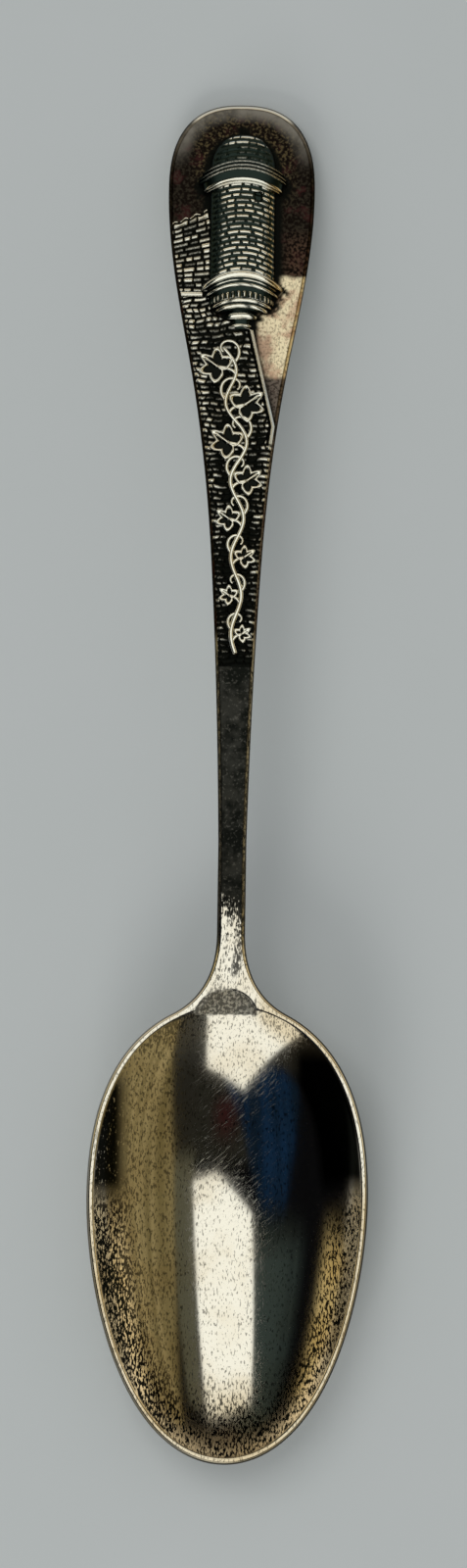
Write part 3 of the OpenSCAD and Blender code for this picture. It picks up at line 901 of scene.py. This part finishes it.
def polished_silver():
    """The spoon's own surfaces: a bowl bright with wear, freckled tarnish, a stem gone almost black,
    painted dark reflections on the bowl's sides and outer edge, and painted shade on the ground beside the
    relief.
    """
    material, net = new_material("polished_silver")
    x, y, z = net.place()
    inset = net.point_value("inset")
    # Painted shadow and tarnish on the handle's ground beside the turret and the coping
    shade_and_soot = net.point_value("shade_and_soot")
    front = 1.0 - net.point_value("back")

    cloud = net.noise(net.vector(x, y, z), 0.16, 4.0)
    blotch = net.noise(net.vector(x, y, z), 0.45, 3.0)
    grain = net.noise(net.vector(x * 6.0, y * 1.9, z * 2), 1.0, 3.0, 0.6)
    bowl = y.ramp(seam_y + 1, seam_y - 1)
    inside = inset.ramp(0.62, 0.9)

    # Freckles of tarnish, stretched along the spoon: thick near the rim, thin where it is polished
    left = x.ramp(-3.6, -6.5)
    low = y.ramp(-41.0, -47.0)
    rim_zone = inset.ramp(6.0, 2.6) * low
    tip = y.ramp(tip_y + 11, tip_y + 3.5)
    top = y.ramp(-30.0, -26.0)
    rough = rim_zone.most(tip)
    golden_rim = y.ramp(-33.0, -29.0) * x.ramp(2.0, 4.0) * inset.ramp(4.2, 1.6) * bowl
    top_rim = y.ramp(-29.5, -26.0) * inset.ramp(3.4, 1.2) * x.ramp(1.0, -2.0)
    cut = 0.580 - 0.048 * left - 0.03 * top - 0.097 * rough - 0.06 * golden_rim - 0.12 * (cloud - 0.5)
    cut = cut - 0.075 * top_rim
    freckle = grain.ramp(cut, cut + 0.04) * (0.66 + 0.34 * rough) * bowl * inside
    # Painted dark reflection: the bowl's left and right sides are painted black with specks, standing in
    # for dark surroundings seen in them
    painted_dark_reflection = y.within(-44.6, -31.0, 2.0) * x.ramp(-9.9, -12.2) * grain.ramp(0.26, 0.40)
    painted_dark_reflection = painted_dark_reflection.most(inset.ramp(5.6, 4.4) * y.within(-43.5, -28.0, 2.0) * x.ramp(6.0, 8.0))
    painted_dark_reflection = painted_dark_reflection * inside * front
    rim_specks = inset.within(0.3, 0.62, 0.06) * bowl * grain.ramp(0.52, 0.60) * 0.55

    # The facet at the shoulder, then the neck and its dark line of specks
    facet = net.point_value("facet")
    crust = net.noise(net.vector(x * 3.4, y * 3.4, z), 1.0, 3.0)
    shoulder = facet * (0.04 + 0.56 * crust.ramp(0.47, 0.54))
    right_line = y.within(-20.5, -13.5, 0.8) * (x - 0.12 * (y + 16.0)).within(0.55, 1.5, 0.2)
    neck_specks = y.within(-21.0, -13.0, 0.8) * grain.ramp(0.54, 0.61)
    neck = (right_line * grain.ramp(0.40, 0.52)).most(neck_specks) * 0.85

    # The stem's flat top is dark, and its bevels are worn bright
    stem = (y + 0.9 * x + 14.0 * (grain - 0.5)).ramp(-15.6, -13.4) * y.ramp(blade_y + 3.0, blade_y + 1.0)
    stem = stem * y.ramp(-22.5, -20.5) * (0.25 + 0.75 * front)
    stem = stem * (1.0 - 0.03 * blotch.ramp(0.40, 0.60) - 0.05 * crust.ramp(0.56, 0.66))
    stem = stem * (inset.ramp(0.26, 0.42).most(0.55 + 0.4 * grain.ramp(0.40, 0.55)))

    # The handle's end, with its golden patch and the bright line along its rim
    upper = y.ramp(blade_y + 1, blade_y + 4) * front
    ragged = y + 1.1 * (blotch - 0.5)
    golden = ragged.within(*golden_y, 0.3) * x.ramp(*golden_x) * front

    # Colours first, then the painted dark reflection of the outer edge, and the dark tarnish with painted
    # shade over everything
    warm = (rough * 0.55 + 0.25 * cloud.ramp(0.42, 0.65)).most(golden_rim * 0.6)
    tone = net.blend(SILVER, GOLD_TONE, warm)
    tone = net.blend(tone, ground_tone(net, x, y, inset, blotch, crust), upper)
    tone = net.blend(tone, golden_tone(net, x, y, blotch, crust), golden)
    tone = net.blend(tone, SILVER, inset.ramp(0.42, 0.3) * y.ramp(70.8, 71.6))
    # Painted dark reflection along the outer edge and its bevel
    outer = inset.ramp(0.24, 0.12) * (0.9 - 0.25 * x.ramp(-2.0, -8.0) * bowl)
    outer = outer * (1 - upper * (1 - 0.9 * inset.ramp(0.16, 0.08)))
    # dull gathers tarnish with the painted shade beside the relief and the painted dark reflection of the
    # outer edge
    dull = shoulder.most(neck).most(stem).most(shade_and_soot).most(outer)
    thin = freckle.most(painted_dark_reflection).most(rim_specks).most(golden * grain.ramp(0.54, 0.61) * 0.36)
    colour = net.blend(tone, SOOT_AND_SHADE, dull.most(thin))

    # Fine scratches, and a duller middle of the bowl where it was handled
    hair = net.noise(net.vector(x * 0.5 + y * 0.4, y * 4.6 - x * 4.2), 1.0, 2.0)
    height = hair.ramp(0.62, 0.72) * 0.12 - freckle * 0.3
    handled = x.within(-4.0, 6.0, 2.0) * y.within(-52.0, -30.0, 4.0)
    roughness = 0.065 + 0.30 * dull + 0.05 * cloud + 0.2 * upper + 0.06 * rough + 0.55 * facet
    roughness = roughness + 0.13 * handled * hair.ramp(0.55, 0.66)
    return finished(material, net, colour, roughness, net.bump(height, 0.12, FINE_BUMP))


def struck_silver(name, recess, low, high, dull=0.25):
    """Relief: dark in its recesses and where shade is painted, bright where wear has rubbed it and where a
    highlight is painted, with a painted golden reflection on the turret's right side and golden patches
    here and there.
    """
    material, net = new_material(name)
    x, y, z = net.place()
    worn = net.point_value("worn")
    grit = net.noise(net.vector(x * 6, y * 6, z * 6), 1.0, 3.0)
    patch = net.noise(net.vector(x, y, z), 0.35, 3.0)
    lit = (worn + (grit - 0.5) * 0.5).ramp(low, high)
    # Painted golden reflection on the turret's right side, and random golden patches
    gold_and_reflection = (x.ramp(2.2, 3.5) * y.ramp(49.5, 50.5)).most(patch.ramp(0.45, 0.7) * 0.35)
    colour = net.blend(recess, net.blend(WORN_AND_LIT_RELIEF, GOLD_TONE, gold_and_reflection), lit)
    roughness = dull + 0.25 * (1 - lit)
    return finished(material, net, colour, roughness, net.bump(grit, 0.2, FINE_BUMP))


# ---- Stage: floor, studio surroundings, light, camera ----------------------------------

FLOOR_TONE = rgba(0.592, 0.622, 0.606)
FLOOR_MOTTLE = rgba(0.62, 0.64, 0.635)
floor_drop = 0.0002
BACKDROP = rgba(0.41, 0.435, 0.42)
FILL = rgba(0.75, 0.78, 0.80)

# What polished surfaces see round them
WINDOW = rgba(1.04, 1.00, 0.87)
PANEL = rgba(1.06, 1.03, 0.91)
DARK_ROOM = rgba(0.0012, 0.0012, 0.0015)
BROWN_WALL = rgba(0.135, 0.102, 0.038)
TAN_WALL = rgba(0.37, 0.285, 0.13)
NAVY_DARK = rgba(0.002, 0.0065, 0.012)
NAVY = rgba(0.004, 0.018, 0.048)
SLATE = rgba(0.015, 0.014, 0.010)
SLATE_FAR = rgba(0.045, 0.042, 0.032)
CORNER = rgba(0.020, 0.018, 0.013)
TEAL_WALL = rgba(0.032, 0.043, 0.037)
TEAL_DARK = rgba(0.013, 0.018, 0.016)
GLOW_RIGHT = rgba(0.92, 0.75, 0.44)
GLOW_LEFT = rgba(0.62, 0.49, 0.23)
GLOW_FAR = rgba(1.0, 0.85, 0.60)
FAR_WALL = rgba(0.10, 0.08, 0.05)
RED_SPOT = rgba(0.024, 0.006, 0.006)
PANEL_EDGE = rgba(0.085, 0.08, 0.05)
LOW_WALLS = rgba(0.36, 0.345, 0.30)


def build_floor():
    half = 30.0
    mesh = bpy.data.meshes.new("table_top")
    corners = [(-half, -half), (half, -half), (half, half), (-half, half)]
    mesh.from_pydata([(x, y, -floor_drop) for x, y in corners], [], [(0, 1, 2, 3)])
    material, net = new_material("table_top")
    x, y, z = net.place()
    mottle = net.noise(net.vector(x, y, z), 0.035, 4.0)
    shader = net.node("BsdfDiffuse")
    net.feed(shader.inputs["Color"], net.blend(FLOOR_TONE, FLOOR_MOTTLE, mottle))
    net.feed(net.node("OutputMaterial").inputs["Surface"], shader.outputs[0])
    mesh.materials.append(material)
    floor = bpy.data.objects.new("table_top", mesh)
    bpy.context.scene.collection.objects.link(floor)


def reflected_room(net):
    """Colour of the room by direction: dark and warm walls, a panel overhead and a window.

    gx and gy are where a ray would meet a ceiling one unit up.
    """
    x, y, z = net.axes(net.node("TexCoord").outputs["Generated"])
    up = z.most(0.02)
    gx = x / up
    gy = y / up
    streak = net.noise(net.vector(gx * 5.0, gy * 0.35), 1.0, 3.0)

    # The dark room, and a brown wall on its right that glows at the far end
    across_wall = gx - 0.27 * gy.off(-0.3)
    tan_share = streak.ramp(0.38, 0.62) * (0.35 + 0.65 * gx.ramp(0.8, 1.5))
    look = net.blend(DARK_ROOM, net.blend(BROWN_WALL, TAN_WALL, tan_share), across_wall.ramp(0.47, 0.67))
    look = net.blend(look, GLOW_RIGHT, gx.ramp(2.2, 3.6) * gy.ramp(-0.7, 0.1))

    # Slate, navy and teal in the -Y direction and on the left
    slate = gy.ramp(-0.46, -0.58) * gx.ramp(-0.37, -0.23) * across_wall.ramp(0.67, 0.47)
    look = net.blend(look, SLATE, slate)
    look = net.blend(look, SLATE_FAR, slate * gy.ramp(-1.2, -2.6))
    look = net.blend(look, CORNER, gx.ramp(-0.4, -0.8) * gy.ramp(-1.2, -1.9))
    navy = net.blend(NAVY_DARK, NAVY, streak.ramp(0.35, 0.6))
    navy_right = (gx + 0.07 + 0.46 * (gy + 0.90)).ramp(0.04, -0.06)
    navy_left = (gx + 0.62 - 0.42 * gy).ramp(-0.08, 0.08)
    navy_ends = gy.ramp(-0.17, -0.42) * gy.ramp(-1.7, -1.3)
    look = net.blend(look, navy, navy_right * navy_left * navy_ends)
    teal = net.blend(TEAL_WALL, TEAL_DARK, gx.ramp(-0.55, -1.2) * streak.ramp(0.2, 0.6))
    look = net.blend(look, teal, gx.within(-1.22, -0.2, 0.28) * gy.ramp(-0.34, 0.0))
    look = net.blend(look, GLOW_LEFT, gx.ramp(-1.9, -3.1) * gy.ramp(-0.5, 0.1))

    # The far end in the +Y direction, then a red spot and the panel overhead with its dull right edge
    look = net.blend(look, FAR_WALL, (gy - 0.3 * gx.off(0.0)).ramp(0.95, 1.3))
    look = net.blend(look, GLOW_FAR, gy.ramp(1.3, 2.8))
    look = net.blend(look, RED_SPOT, gx.off(0.03).ramp(0.22, 0.0) * gy.off(-0.82).ramp(0.28, 0.0))
    look = net.blend(look, PANEL_EDGE, gx.within(0.38, 0.66, 0.05) * gy.within(-0.56, 0.9, 0.1))
    near_end = (gy + 0.49 * gx).ramp(-0.41, -0.385) * (gy - 0.12 * gx).ramp(-0.475, -0.455)
    sides = (gx + 0.18 * gy).ramp(-0.345, -0.31) * (gx + 0.06 * gy).ramp(0.38, 0.345)
    look = net.blend(look, PANEL, sides * near_end * (gy - 0.2 * gx).ramp(0.96, 0.86))
    look = net.blend(look, LOW_WALLS, z.ramp(0.12, 0.04))

    # The window is seen low in the -Y direction and comes to a point towards the zenith
    point = (gy + 1.07 + 0.68 * (gx + 0.164)).ramp(0.03, -0.03)
    point = point * (gy + 1.04 - 1.33 * (gx + 0.164)).ramp(0.05, -0.05)
    window = point * gy.ramp(-6.5, -5.5) * (gx + 0.124 * gy).ramp(0.16, 0.11)
    return net.blend(look, WINDOW, window)


def build_surroundings():
    """The room for polished surfaces, a plain backdrop for the camera and an even fill for the rest."""
    world = bpy.data.worlds.new("studio")
    world.use_nodes = True
    bpy.context.scene.world = world
    net = Net(world.node_tree)
    look = reflected_room(net)
    path = net.node("LightPath")
    seen = net.node("Background")
    net.feed(seen.inputs["Color"], look)
    even = net.node("Background")
    net.feed(even.inputs["Color"], BACKDROP)
    fill = net.node("Background")
    net.feed(fill.inputs["Color"], FILL)
    net.feed(fill.inputs["Strength"], 0.50)
    pick = net.node("MixShader")
    net.feed(pick.inputs[0], path.outputs["Is Camera Ray"])
    net.feed(pick.inputs[1], fill.outputs[0])
    net.feed(pick.inputs[2], even.outputs[0])
    whole = net.node("MixShader")
    net.feed(whole.inputs[0], path.outputs["Is Glossy Ray"])
    net.feed(whole.inputs[1], pick.outputs[0])
    net.feed(whole.inputs[2], seen.outputs[0])
    net.feed(net.node("OutputWorld").inputs["Surface"], whole.outputs[0])


def build_light():
    """A soft panel nearly overhead and a low one in the -Y direction; reflections don't show them."""
    for name, place, size, energy in [("soft_panel", (-0.25, 0.32, 0.80), (0.5, 0.6), 1.8),
                                      ("window", (-0.22, -0.85, 0.45), (0.45, 0.35), 3.0)]:
        data = bpy.data.lights.new(name, "AREA")
        data.shape = "RECTANGLE"
        data.size, data.size_y = size
        data.energy = energy
        data.color = (1.0, 0.995, 0.985)
        light = bpy.data.objects.new(name, data)
        light.location = place
        light.rotation_euler = (-light.location).to_track_quat("-Z", "Y").to_euler()
        light.visible_glossy = False
        light.visible_camera = False
        bpy.context.scene.collection.objects.link(light)


# The view is as long as the spoon times view_share, and centred on the aim, in metres
view_share = 1.1504
aim_x, aim_y, aim_z = 0.00003, -0.00007, 0.006
camera_turn = math.radians(0.84)


def build_camera():
    """Straight above the spoon, far enough for a long lens, and turned a little."""
    data = bpy.data.cameras.new("camera")
    data.lens = 200
    data.sensor_width = 36
    camera = bpy.data.objects.new("camera", data)
    length = cad_high.y - cad_low.y
    view_l = view_share * length
    away = view_l * data.lens / data.sensor_width
    camera.location = (aim_x, aim_y, aim_z + away)
    camera.rotation_euler = (0, 0, camera_turn)
    data.clip_start = 0.05
    data.clip_end = 100
    bpy.context.scene.collection.objects.link(camera)
    bpy.context.scene.camera = camera


# ---- Assembly --------------------------------------------------------------------------

def no_shade_and_soot(x, y):
    return np.zeros_like(x)


def blade_shade_and_soot(x, y):
    """Painted shadow and tarnish on the ground close to the turret and the coping."""
    near = ramp(turret_gap(x, y), 1.0, 0.35)
    beside = (y < coping_high[1] + 1) & (y > blade_y)
    cope = np.where(beside, np.exp(-np.abs(x - coping_x(y)) / 0.25), 0)
    return np.maximum(near, cope)


def flat_top(x, y):
    return top_z(y)


silver = polished_silver()
masonry = struck_silver("oxidised_silver", SOOT_AND_SHADE, 0.35, 0.85)
turret = struck_silver("relief_silver", RECESS_AND_SHADE_TEAL, 0.30, 0.80, 0.06)
ivy = struck_silver("ivy_silver", SOOT_AND_SHADE, 0.25, 0.60, 0.08)
spoon_part("bowl_shell", "bowl", silver, *bowl_rows(44, 230), bowl_top, True, no_shade_and_soot)
spoon_part("stem_shank", "stem", silver, *straight_rows(seam_y, blade_y, 0.22), flat_top, False, no_shade_and_soot)
spoon_part("handle_ground", "handle_blade", silver, *blade_rows(0.25, 60), flat_top, True, blade_shade_and_soot)
build_wall(masonry)
build_parapet(masonry)
build_ledge(turret)
for title, node, low_b, high_b in [("dome_masonry", "turret_dome", dome_b + 0.01, 6.1),
                                   ("cornice_rings", "turret_cornice", 6.04, 8.56),
                                   ("drum_masonry", "turret_drum", 8.5, 18.14),
                                   ("corbel_rings", "turret_corbel", 18.08, 22.3),
                                   ("pendant_knop", "turret_pendant", 22.24, 24.4)]:
    build_turret(title, node, turret, low_b, high_b)
build_vine(ivy)
build_leaves(ivy)
build_floor()
build_surroundings()
build_light()
build_camera()
bpy.context.scene.view_settings.view_transform = "Standard"
